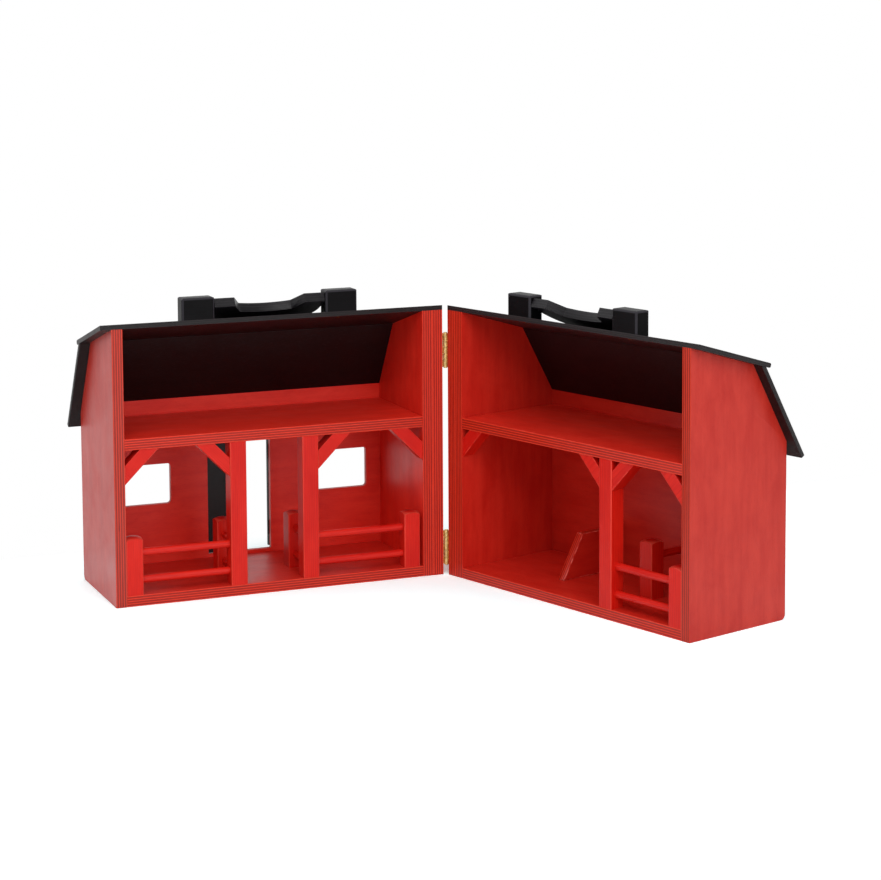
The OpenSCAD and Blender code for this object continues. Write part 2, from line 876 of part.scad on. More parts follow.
module right_far_rails() { color(red) place_right() right_far_rail_set(0); }
module right_stall_rails() { color(red) place_right() right_stall_rail_set(0); }
module right_stall_board() { color(red) place_right() stall_board(); }
module right_near_block() { color(handle_black) place_right() handle_block(near_block_x); }
module right_far_block() { color(handle_black) place_right() handle_block(far_block_x); }
module right_grip() { color(handle_black) place_right() grip(right_grip_angle); }
module right_grip_pins() { color(handle_black) place_right() grip_pins(); }
module right_block_screws() { color(brass) place_right() block_screws(); }
module right_hinge_leaves() { color(brass) place_right() hinge_leaves([1, 3], [0, 2, 4]); }
module right_hinge_screws() { color(brass) place_right() hinge_screws(); }

left_far_gable();
left_hinge_gable();
left_hinge_facing();
left_back_wall();
left_floor();
left_loft();
left_upper_roof();
left_steep_roof();
left_outer_post();
left_inner_post();
left_braces();
left_far_fence_post();
left_near_fence_post();
left_outer_divider_post();
left_inner_divider_post();
left_far_rails();
left_near_rails();
left_divider_rails();
left_near_block();
left_far_block();
left_grip();
left_grip_pins();
left_block_screws();
left_hinge_leaves();
left_hinge_screws();
main_hinge_pins();
far_door();
far_door_knob();
far_door_leaves();
far_door_screws();
near_door();
near_door_knob();
near_door_leaves();
near_door_screws();
wall_hinge_leaves();
wall_hinge_screws();
door_hinge_pins();
right_far_gable();
right_hinge_gable();
right_hinge_facing();
right_back_wall();
right_floor();
right_loft();
right_upper_roof();
right_steep_roof();
right_tall_post();
right_braces();
right_far_fence_post();
right_stall_post();
right_far_rails();
right_stall_rails();
right_stall_board();
right_near_block();
right_far_block();
right_grip();
right_grip_pins();
right_block_screws();
right_hinge_leaves();
right_hinge_screws();
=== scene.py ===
"""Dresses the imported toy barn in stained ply, stained timber and brass, and sets it in a plain studio."""

from __future__ import annotations

import logging
import math
from dataclasses import dataclass, field, replace
from enum import Enum
from typing import Any, Callable, Sequence

import bpy
from mathutils import Matrix, Vector

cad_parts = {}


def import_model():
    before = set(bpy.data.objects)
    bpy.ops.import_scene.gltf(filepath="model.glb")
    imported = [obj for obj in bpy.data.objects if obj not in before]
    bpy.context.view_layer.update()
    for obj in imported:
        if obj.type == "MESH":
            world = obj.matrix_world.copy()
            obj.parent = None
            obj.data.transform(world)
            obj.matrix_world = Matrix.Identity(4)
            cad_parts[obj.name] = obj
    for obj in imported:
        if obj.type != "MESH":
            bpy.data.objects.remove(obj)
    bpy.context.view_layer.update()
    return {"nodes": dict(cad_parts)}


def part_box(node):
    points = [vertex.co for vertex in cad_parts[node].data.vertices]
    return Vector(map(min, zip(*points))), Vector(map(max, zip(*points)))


LOG = logging.getLogger("toy_barn")

MM = 0.001
Colour = tuple[float, float, float, float]


def srgb(red: int, green: int, blue: int) -> Colour:
    """Turns a screen colour into the linear colour that a shader takes.

    Args:
        red: Red of the screen colour, 0 to 255.
        green: Green of the screen colour, 0 to 255.
        blue: Blue of the screen colour, 0 to 255.

    Returns:
        The linear colour with full alpha.
    """

    def linear(level: int) -> float:
        """Returns one channel in linear light."""
        value = level / 255
        return value / 12.92 if value <= 0.04045 else ((value + 0.055) / 1.055) ** 2.4

    return (linear(red), linear(green), linear(blue), 1.0)


class Side(Enum):
    """The two half barns."""

    LEFT = "left"
    RIGHT = "right"


class Way(Enum):
    """Directions in a half barn."""

    LENGTH = "from the hinge end to the far end"
    DEPTH = "from the open front to the back wall"
    HEIGHT = "up"
    UPPER_OUT = "out of the upper roof"
    STEEP_OUT = "out of the steep roof"
    GRIP_OUT = "out of a grip's upper face"
    BRACE = "along a brace that rises with the length"


@dataclass(frozen=True)
class BarnSizes:
    """Sizes that the finishes share with the solids, in millimetres and degrees."""

    half_length: float = 376.0
    half_depth: float = 141.0
    ridge_height: float = 299.3
    board: float = 12.0
    wall: float = 6.0
    roof: float = 5.0
    grip: float = 10.0
    door: float = 4.0
    stall_board: float = 9.0
    stall_board_place: float = 132.0
    loft_top: float = 181.2
    upper_pitch: float = 16.0
    steep_pitch: float = 59.2
    grip_tilt: float = 27.0
    pin_gap: float = 3.5
    closed_gap: float = 0.6
    open_angle: float = 107.5
    knee_depth: float = 90.0


@dataclass(frozen=True)
class PlyCounts:
    """Layers in the boards, which are always an odd number."""

    board: int = 9
    wall: int = 5
    roof: int = 5
    grip: int = 7
    door: int = 5
    stall_board: int = 7


SIZES = BarnSizes()
PLIES = PlyCounts()


@dataclass(frozen=True)
class HalfFrame:
    """Place of one half barn in the part's frame."""

    side: Side

    @property
    def turn(self) -> Matrix:
        """Rotation of this half's length and depth."""
        if self.side is Side.LEFT:
            return Matrix.Identity(3)
        return Matrix.Rotation(math.radians(SIZES.open_angle - 180), 3, "Z")

    @property
    def origin(self) -> Vector:
        """Foot of the open front at the hinge end, in metres."""
        corner = Vector((SIZES.half_length / 2, -SIZES.half_depth / 2, 0))
        if self.side is Side.LEFT:
            return corner * MM
        pin = corner + Vector((SIZES.pin_gap, -SIZES.closed_gap / 2, 0))
        arm = Vector((SIZES.pin_gap, SIZES.closed_gap / 2, 0))
        return (pin + self.turn @ arm) * MM

    def way(self, way: Way) -> Vector:
        """Gives a direction of this half in the part's frame.

        Args:
            way: The direction's name.

        Returns:
            The unit vector.
        """
        mirror = -1 if self.side is Side.LEFT else 1
        length = self.turn @ Vector((mirror, 0, 0))
        depth = self.turn @ Vector((0, 1, 0))
        height = Vector((0, 0, 1))

        def out_of(pitch: float) -> Vector:
            """Returns the direction out of a slope that falls towards the back."""
            angle = math.radians(pitch)
            return depth * math.sin(angle) + height * math.cos(angle)

        ways = {
            Way.LENGTH: length,
            Way.DEPTH: depth,
            Way.HEIGHT: height,
            Way.UPPER_OUT: out_of(SIZES.upper_pitch),
            Way.STEEP_OUT: out_of(SIZES.steep_pitch),
            Way.GRIP_OUT: out_of(SIZES.grip_tilt),
            Way.BRACE: (length + height).normalized(),
        }
        return ways[way]

    def point(self, length: float, depth: float, height: float) -> Vector:
        """Gives a point of this half in the part's frame.

        Args:
            length: Distance from the hinge end in millimetres.
            depth: Distance from the open front in millimetres.
            height: Height over the base in millimetres.

        Returns:
            The point in metres.
        """
        offset = self.way(Way.LENGTH) * length + self.way(Way.DEPTH) * depth
        return self.origin + (offset + Vector((0, 0, height))) * MM


@dataclass(frozen=True)
class GrainFrame:
    """Directions in which a piece of wood was cut: along the grain and through its layers."""

    origin: Vector
    along: Vector
    through: Vector

    @property
    def rotation(self) -> Matrix:
        """Rotation from the part's frame to along, across and through."""
        across = self.through.cross(self.along)
        return Matrix((self.along, across, self.through))

    @property
    def shift(self) -> Vector:
        """Offset that puts the origin of the grain at zero, in metres."""
        return -(self.rotation @ self.origin)


Input = Any
Span = tuple[float, float]


@dataclass(frozen=True)
class Pattern:
    """A noise: its repeats in a metre along each axis, its octaves, their strength and its distortion."""

    scale: tuple[float, float, float]
    detail: float = 2.0
    rough: float = 0.5
    bend: float = 0.0


class Graph:
    """Adds nodes to one node tree and joins them."""

    def __init__(self, tree: bpy.types.NodeTree) -> None:
        """Keeps the tree that the nodes go to.

        Args:
            tree: A material's, a world's or a group's node tree.
        """
        self.tree = tree

    def node(self, kind: str, **settings: Any) -> bpy.types.Node:
        """Adds a node.

        Args:
            kind: Blender's name of the node's type.
            **settings: Properties to set on the node.

        Returns:
            The new node.
        """
        made = self.tree.nodes.new(kind)
        for name, value in settings.items():
            setattr(made, name, value)
        return made

    def feed(self, socket: bpy.types.NodeSocket, value: Input) -> None:
        """Joins a socket to an input, or sets it to a plain value.

        Args:
            socket: The socket that takes the input.
            value: Another node's output, or a value.
        """
        if isinstance(value, bpy.types.NodeSocket):
            self.tree.links.new(value, socket)
        else:
            socket.default_value = value

    def math(self, operation: str, first: Input, second: Input = 0.0, clamp: bool = False) -> bpy.types.NodeSocket:
        """Adds a Math node.

        Args:
            operation: The node's operation.
            first: Its first value.
            second: Its second value.
            clamp: Whether the result is kept between 0 and 1.

        Returns:
            The result's socket.
        """
        made = self.node("ShaderNodeMath", operation=operation, use_clamp=clamp)
        self.feed(made.inputs[0], first)
        self.feed(made.inputs[1], second)
        return made.outputs[0]

    def plus(self, total: Input, value: Input, weight: Input, clamp: bool = False) -> bpy.types.NodeSocket:
        """Adds a weighted value to a total.

        Args:
            total: The total so far.
            value: The value to add.
            weight: Its weight, below zero to take it away.
            clamp: Whether the result is kept between 0 and 1.

        Returns:
            The new total's socket.
        """
        return self.math("ADD", total, self.math("MULTIPLY", value, weight), clamp)

    def step(self, value: Input, low: float, high: float, start: float = 0.0, end: float = 1.0) -> bpy.types.NodeSocket:
        """Adds a smooth step from one level to another.

        Args:
            value: The value that drives the step.
            low: Value at which the step starts.
            high: Value at which it ends.
            start: Level before the step.
            end: Level after it.

        Returns:
            The result's socket.
        """
        made = self.node("ShaderNodeMapRange", interpolation_type="SMOOTHSTEP")
        for socket, entry in zip(made.inputs, (value, low, high, start, end)):
            self.feed(socket, entry)
        return made.outputs[0]

    def stretch(self, vector: Input, scale: Sequence[float], shift: Input = (0.0, 0.0, 0.0)) -> bpy.types.NodeSocket:
        """Scales a position and moves it on.

        Args:
            vector: The position.
            scale: Factor along each axis.
            shift: Offset that is added after scaling.

        Returns:
            The new position's socket.
        """
        scaled = self.node("ShaderNodeVectorMath", operation="MULTIPLY")
        self.feed(scaled.inputs[0], vector)
        self.feed(scaled.inputs[1], tuple(scale))
        moved = self.node("ShaderNodeVectorMath", operation="ADD")
        self.feed(moved.inputs[0], scaled.outputs[0])
        self.feed(moved.inputs[1], shift)
        return moved.outputs[0]

    def noise(self, pattern: Pattern, place: Input, shift: Input = (0.0, 0.0, 0.0)) -> bpy.types.NodeSocket:
        """Adds a noise.

        Args:
            pattern: Its scale and character.
            place: The position in metres.
            shift: Offset that is added to the scaled position.

        Returns:
            The noise's value, about 0 to 1.
        """
        made = self.node("ShaderNodeTexNoise")
        self.feed(made.inputs["Vector"], self.stretch(place, pattern.scale, shift))
        self.feed(made.inputs["Scale"], 1.0)
        self.feed(made.inputs["Detail"], pattern.detail)
        self.feed(made.inputs["Roughness"], pattern.rough)
        self.feed(made.inputs["Distortion"], pattern.bend)
        return made.outputs[0]

    def mix(self, factor: Input, first: Input, second: Input) -> bpy.types.NodeSocket:
        """Mixes two colours.

        Args:
            factor: Share of the second colour.
            first: The first colour.
            second: The second colour.

        Returns:
            The mixed colour's socket.
        """
        made = self.node("ShaderNodeMix", data_type="RGBA", blend_type="MIX")
        self.feed(made.inputs[0], factor)
        self.feed(made.inputs[6], first)
        self.feed(made.inputs[7], second)
        return made.outputs[2]

    def between(self, factor: Input, first: Input, second: Input) -> bpy.types.NodeSocket:
        """Mixes two values.

        Args:
            factor: Share of the second value.
            first: The first value.
            second: The second value.

        Returns:
            The mixed value's socket.
        """
        made = self.node("ShaderNodeMix", data_type="FLOAT")
        self.feed(made.inputs[0], factor)
        self.feed(made.inputs[2], first)
        self.feed(made.inputs[3], second)
        return made.outputs[0]

    def parts(self, vector: Input) -> tuple[bpy.types.NodeSocket, ...]:
        """Splits a vector into its three values."""
        made = self.node("ShaderNodeSeparateXYZ")
        self.feed(made.inputs[0], vector)
        return tuple(made.outputs)

    def join(self, first: Input, second: Input, third: Input) -> bpy.types.NodeSocket:
        """Joins three values into a vector."""
        made = self.node("ShaderNodeCombineXYZ")
        for socket, value in zip(made.inputs, (first, second, third)):
            self.feed(socket, value)
        return made.outputs[0]

    def use(self, group: bpy.types.NodeTree, **values: Input) -> bpy.types.Node:
        """Places a shared group and gives it its inputs.

        Args:
            group: The shared group.
            **values: Inputs by name, with an underscore for each space.

        Returns:
            The group's node.
        """
        made = self.node("ShaderNodeGroup", node_tree=group)
        for name, value in values.items():
            self.feed(made.inputs[name.replace("_", " ")], value)
        return made


@dataclass(frozen=True)
class BirchLook:
    """How a peeled birch veneer is figured."""

    streaks: Pattern = Pattern((9, 130, 60), 4.0, 0.65, 0.3)
    swirl: Pattern = Pattern((5.5, 13, 20), 2.0, 0.45, 0.9)
    mottle: Pattern = Pattern((22, 60, 60), 3.0, 0.6, 0.3)
    pores: Pattern = Pattern((190, 2100, 900), 1.0, 0.4)
    across_draw: float = 1.7
    through_draw: float = 0.6
    contours: float = 9.0
    contour_width: float = 0.16
    contour_dark: float = 0.035
    pore_span: Span = (0.6, 0.72)
    pore_dark: float = 0.16
    streak_share: float = 0.42
    mottle_share: float = 0.58
    tone_span: Span = (0.16, 0.8)
    streak_relief: float = 0.5
    pore_relief: float = 0.7


@dataclass(frozen=True)
class PlyLook:
    """How the cut edge of ply shows its layers and its glue lines."""

    drift: Pattern = Pattern((9, 9, 0), 1.0)
    patches: Pattern = Pattern((26, 26, 3.7), 3.0, 0.65)
    fibre: Pattern = Pattern((700, 700, 2600), 2.0, 0.6)
    edge_span: Span = (0.45, 0.75)
    layer_span: Span = (0.2, 0.85)
    gap_span: Span = (0.66, 0.72)
    glue_width: float = 0.3
    drift_share: float = 0.035
    layer_share: float = 0.75
    patch_share: float = 0.5
    fibre_share: float = 0.35
    glue_dark: float = 0.18
    gap_dark: float = 0.35
    layer_relief: float = 0.6
    glue_relief: float = 0.4
    fibre_relief: float = 0.35


@dataclass(frozen=True)
class TimberLook:
    """How the rings and fibres of solid wood show, with its heart's offset in metres."""

    bend: Pattern = Pattern((7, 40, 40), 2.0, 0.5, 0.3)
    fibre: Pattern = Pattern((45, 900, 900), 3.0, 0.6)
    mottle: Pattern = Pattern((18, 40, 40))
    across_draw: float = 2.3
    through_draw: float = 1.3
    heart_offset: float = 0.021
    heart_spread: float = 0.03
    rise_draw: float = 0.37
    rise_spread: float = 0.04
    ring_bend: float = 3.2
    late_start: float = 0.25
    late_peak: float = 0.92
    fibre_share: float = 0.5
    mottle_share: float = 0.5
    late_dark: float = 0.16
    tone_span: Span = (0.2, 0.72)
    fibre_relief: float = 0.6
    late_relief: float = 0.3
    end_span: Span = (0.6, 0.9)
    # squareness span over which the painted highlight on rounded edges fades out
    rounded_span: Span = (0.9, 0.985)


@dataclass(frozen=True)
class WearLook:
    """Where handling shows, and how it changes the gloss."""

    clouds: Pattern = Pattern((28, 28, 28), 3.0, 0.6, 0.4)
    scuffs: Pattern = Pattern((210, 900, 330), 2.0, 0.5, 1.2)
    worn: Pattern = Pattern((130, 130, 130), 3.0, 0.7)
    scuff_span: Span = (0.63, 0.74)
    cloud_span: Span = (0.45, 0.7)
    worn_span: Span = (0.36, 0.66)
    gloss_swing: float = 0.22
    scuff_dull: float = 0.12


BIRCH = BirchLook()
PLY_EDGE = PlyLook()
TIMBER = TimberLook()
WEAR = WearLook()


class SharedEffects:
    """Shader groups that several finishes use. Each is built once."""

    def __init__(self) -> None:
        """Starts with no group built."""
        self._built: dict[str, bpy.types.NodeTree] = {}

    def _group(
        self,
        name: str,
        inputs: dict[str, Any],
        outputs: Sequence[str],
        fill: Callable[[Graph, Any], dict[str, bpy.types.NodeSocket]],
    ) -> bpy.types.NodeTree:
        """Builds a group the first time that it is asked for.

        Args:
            name: The group's name.
            inputs: Each input's default: a number, a vector or a colour.
            outputs: The outputs' names, all values.
            fill: Adds the group's nodes and returns its outputs.

        Returns:
            The group's node tree.
        """
        if name in self._built:
            return self._built[name]
        tree = bpy.data.node_groups.new(name, "ShaderNodeTree")
        for label, default in inputs.items():
            kind = "NodeSocketFloat" if isinstance(default, float) else "NodeSocketVector"
            socket = tree.interface.new_socket(name=label, in_out="INPUT", socket_type=kind)
            socket.default_value = default
        for label in outputs:
            tree.interface.new_socket(name=label, in_out="OUTPUT", socket_type="NodeSocketFloat")
        graph = Graph(tree)
        taken = graph.node("NodeGroupInput").outputs
        given = graph.node("NodeGroupOutput").inputs
        for label, socket in fill(graph, taken).items():
            graph.feed(given[label], socket)
        self._built[name] = tree
        return tree

    @property
    def birch_face(self) -> bpy.types.NodeTree:
        """Figure of a peeled birch veneer: soft streaks, flowing contour lines, mottling and short pores."""

        def fill(graph: Graph, taken: Any) -> dict[str, bpy.types.NodeSocket]:
            """Adds the figure's nodes."""
            grain, seed, look = taken["Grain"], taken["Seed"], BIRCH
            across_draw = graph.math("MULTIPLY", seed, look.across_draw)
            offset = graph.join(seed, across_draw, graph.math("MULTIPLY", seed, look.through_draw))
            streaks = graph.noise(look.streaks, grain, offset)
            swirl = graph.noise(look.swirl, grain, offset)
            lines = graph.math("PINGPONG", graph.math("MULTIPLY", swirl, look.contours), 0.5)
            contour = graph.step(lines, 0.0, look.contour_width, 1.0, 0.0)
            mottle = graph.noise(look.mottle, grain, offset)
            pore = graph.step(graph.noise(look.pores, grain, offset), *look.pore_span)
            tone = graph.plus(graph.math("MULTIPLY", streaks, look.streak_share), mottle, look.mottle_share)
            tone = graph.plus(tone, contour, -look.contour_dark)
            tone = graph.plus(tone, pore, -look.pore_dark)
            height = graph.plus(graph.math("MULTIPLY", streaks, look.streak_relief), pore, -look.pore_relief)
            return {"Tone": graph.step(tone, *look.tone_span), "Height": height}

        return self._group("birch_face", {"Grain": (0.0, 0.0, 0.0), "Seed": 0.0}, ("Tone", "Height"), fill)

    @property
    def ply_edge(self) -> bpy.types.NodeTree:
        """Cut edge of ply: its mask, the long-grain and end-grain layers, and the glue lines between them."""

        def fill(graph: Graph, taken: Any) -> dict[str, bpy.types.NodeSocket]:
            """Adds the edge's nodes."""
            grain, seed, look = taken["Grain"], taken["Seed"], PLY_EDGE
            facing = graph.math("ABSOLUTE", graph.parts(taken["Normal"])[2])
            edge = graph.step(facing, *look.edge_span, 1.0, 0.0)
            along, across, through = graph.parts(grain)
            drift = graph.noise(look.drift, grain, graph.join(seed, 0.0, 0.0))
            depth = graph.math("DIVIDE", through, taken["Thickness"])
            depth = graph.plus(depth, graph.math("SUBTRACT", drift, 0.5), look.drift_share)
            phase = graph.math("MULTIPLY", depth, taken["Plies"])
            wave = graph.math("SINE", graph.math("MULTIPLY", phase, math.pi))
            layer = graph.step(wave, *look.layer_span)
            glue = graph.step(graph.math("ABSOLUTE", wave), 0.0, look.glue_width, 1.0, 0.0)
            lane = graph.join(along, across, graph.math("FLOOR", phase))
            patch = graph.noise(look.patches, lane, graph.join(0.0, 0.0, seed))
            fibre = graph.noise(look.fibre, grain, graph.join(seed, seed, 0.0))
            gap = graph.math("MULTIPLY", graph.step(patch, *look.gap_span), graph.math("SUBTRACT", 1.0, layer))
            tone = graph.plus(graph.math("MULTIPLY", layer, look.layer_share), patch, look.patch_share)
            tone = graph.plus(tone, graph.math("SUBTRACT", fibre, 0.5), look.fibre_share)
            tone = graph.plus(tone, glue, -look.glue_dark, clamp=True)
            tone = graph.plus(tone, gap, -look.gap_dark, clamp=True)
            height = graph.plus(graph.math("MULTIPLY", layer, look.layer_relief), glue, -look.glue_relief)
            height = graph.plus(height, fibre, look.fibre_relief)
            return {"Edge": edge, "Tone": tone, "Height": height}

        names = {"Grain": (0.0, 0.0, 0.0), "Normal": (0.0, 0.0, 1.0), "Thickness": 0.012, "Plies": 9.0, "Seed": 0.0}
        return self._group("ply_edge", names, ("Edge", "Tone", "Height"), fill)

    @property
    def timber(self) -> bpy.types.NodeTree:
        """Growth rings and pores of solid wood, cut from a trunk whose heart lies off the piece."""

        def fill(graph: Graph, taken: Any) -> dict[str, bpy.types.NodeSocket]:
            """Adds the rings' nodes."""
            grain, seed, look = taken["Grain"], taken["Seed"], TIMBER
            across_draw = graph.math("MULTIPLY", seed, look.across_draw)
            offset = graph.join(seed, across_draw, graph.math("MULTIPLY", seed, look.through_draw))
            _, across, through = graph.parts(grain)
            heart = graph.plus(look.heart_offset, graph.math("FRACT", seed), look.heart_spread)
            side = graph.math("ADD", across, heart)
            rise_draw = graph.math("FRACT", graph.math("MULTIPLY", seed, look.rise_draw))
            rise = graph.plus(through, rise_draw, look.rise_spread)
            radius = graph.math("SQRT", graph.plus(graph.math("MULTIPLY", side, side), rise, rise))
            bend = graph.noise(look.bend, grain, offset)
            ring = graph.plus(graph.math("DIVIDE", radius, taken["Ring"]), bend, look.ring_bend)
            saw = graph.math("FRACT", ring)
            ending = graph.step(saw, look.late_peak, 1.0, 1.0, 0.0)
            late = graph.math("MULTIPLY", graph.step(saw, look.late_start, look.late_peak), ending)
            fibre = graph.noise(look.fibre, grain, offset)
            mottle = graph.noise(look.mottle, grain, offset)
            tone = graph.plus(graph.math("MULTIPLY", fibre, look.fibre_share), mottle, look.mottle_share)
            tone = graph.plus(tone, late, -look.late_dark)
            height = graph.plus(graph.math("MULTIPLY", fibre, look.fibre_relief), late, look.late_relief)
            return {"Tone": graph.step(tone, *look.tone_span), "Height": height}

        names = {"Grain": (0.0, 0.0, 0.0), "Ring": 0.0019, "Seed": 0.0}
        return self._group("timber", names, ("Tone", "Height"), fill)

    @property
    def handled(self) -> bpy.types.NodeTree:
        """Signs of use: places where hands have polished or dulled the finish, and fine scuffs. Its wear mask also lays
        the painted highlight on eased edges.
        """

        def fill(graph: Graph, taken: Any) -> dict[str, bpy.types.NodeSocket]:
            """Adds the wear's nodes."""
            place, seed, look = taken["Place"], taken["Seed"], WEAR
            offset = graph.join(seed, seed, seed)
            cloud = graph.noise(look.clouds, place, offset)
            scuffs = graph.step(graph.noise(look.scuffs, place, offset), *look.scuff_span)
            scuff = graph.math("MULTIPLY", scuffs, graph.step(cloud, *look.cloud_span))
            worn = graph.step(graph.noise(look.worn, place, offset), *look.worn_span)
            return {"Cloud": cloud, "Scuff": scuff, "Wear": worn}

        return self._group("handled", {"Place": (0.0, 0.0, 0.0), "Seed": 0.0}, ("Cloud", "Scuff", "Wear"), fill)


@dataclass(frozen=True)
class Stain:
    """Colours and gloss of a stained and clear-coated wood, with a paler colour for its eased edges that is partly wear
    and partly a painted highlight.
    """

    pale: Colour
    rich: Colour
    edge_pale: Colour
    edge_rich: Colour
    wear_and_highlight: Colour
    wear_and_highlight_share: float
    roughness: float
    face_bump: float
    edge_bump: float
    sheen: float


RED_PLY = Stain(
    pale=srgb(210, 46, 32),
    rich=srgb(184, 22, 12),
    edge_pale=srgb(226, 54, 28),
    edge_rich=srgb(128, 5, 2),
    wear_and_highlight=srgb(230, 84, 62),
    wear_and_highlight_share=0.3,
    roughness=0.4,
    face_bump=0.12,
    edge_bump=0.3,
    sheen=0.28,
)
# paler copy of the red ply for the inner boards that the lamps reach less: painted light
INNER_PLY_PAINTED_LIGHT = replace(RED_PLY, pale=srgb(236, 53, 37), rich=srgb(212, 27, 15))
# darker copy of the red ply, edges too, for the outer far gables that face the lamps: painted shade
OUTER_PLY_PAINTED_SHADE = replace(
    RED_PLY,
    pale=srgb(196, 53, 40),
    rich=srgb(172, 28, 18),
    edge_pale=srgb(214, 54, 27),
    edge_rich=srgb(106, 4, 1),
)
# the same painted shade with a stronger specular level, for the left far gable
GLOSSY_OUTER_PLY_PAINTED_SHADE = replace(OUTER_PLY_PAINTED_SHADE, sheen=0.42)
# the stall board's eased edges turn a near-white pink over most of their width: a painted highlight on its slanted
# arris
STALL_PLY_PAINTED_HIGHLIGHT = replace(RED_PLY, wear_and_highlight=srgb(250, 140, 128), wear_and_highlight_share=0.8)
RED_TIMBER = Stain(
    pale=srgb(216, 34, 19),
    rich=srgb(192, 15, 7),
    edge_pale=srgb(216, 52, 34),
    edge_rich=srgb(160, 16, 10),
    wear_and_highlight=srgb(244, 104, 84),
    wear_and_highlight_share=0.4,
    roughness=0.4,
    face_bump=0.12,
    edge_bump=0.3,
    sheen=0.22,
)
ROOF_BLACK = Stain(
    pale=srgb(20, 8, 9),
    rich=srgb(6, 2, 3),
    edge_pale=srgb(34, 24, 26),
    edge_rich=srgb(9, 5, 6),
    wear_and_highlight=srgb(54, 44, 46),
    wear_and_highlight_share=0.3,
    roughness=0.46,
    face_bump=0.2,
    edge_bump=0.3,
    sheen=0.3,
)
HANDLE_BLACK = Stain(
    pale=srgb(21, 17, 22),
    rich=srgb(9, 7, 10),
    edge_pale=srgb(32, 28, 33),
    edge_rich=srgb(12, 11, 12),
    wear_and_highlight=srgb(66, 63, 69),
    wear_and_highlight_share=0.35,
    roughness=0.38,
    face_bump=0.16,
    edge_bump=0.26,
    sheen=0.3,
)
# darker, less glossy copy of the handle's black for the blocks, whose fronts face the lamps: painted shade
BLOCK_BLACK_PAINTED_SHADE = replace(HANDLE_BLACK, sheen=0.08, pale=srgb(13, 10, 13), rich=srgb(5, 4, 5))
# strength of the painted highlight on the rounded edges of posts and handle blocks
POST_ARRIS_HIGHLIGHT = 0.3
BLOCK_ARRIS_HIGHLIGHT = 0.5
RED_RING = 1.9
HANDLE_RING = 1.5
KNOB_RING = 1.2
# boards that take lightened or darkened copies of the red ply as painted light and shade
BOARD_STAINS_WITH_PAINTED_LIGHT = {
    "left_far_gable": GLOSSY_OUTER_PLY_PAINTED_SHADE,
    "right_far_gable": OUTER_PLY_PAINTED_SHADE,
    "left_hinge_gable": INNER_PLY_PAINTED_LIGHT,
    "left_back_wall": INNER_PLY_PAINTED_LIGHT,
    "left_loft": INNER_PLY_PAINTED_LIGHT,
    "right_loft": INNER_PLY_PAINTED_LIGHT,
}


SEED_STEP = 3.17
GRAIN_RELIEF = 0.0004


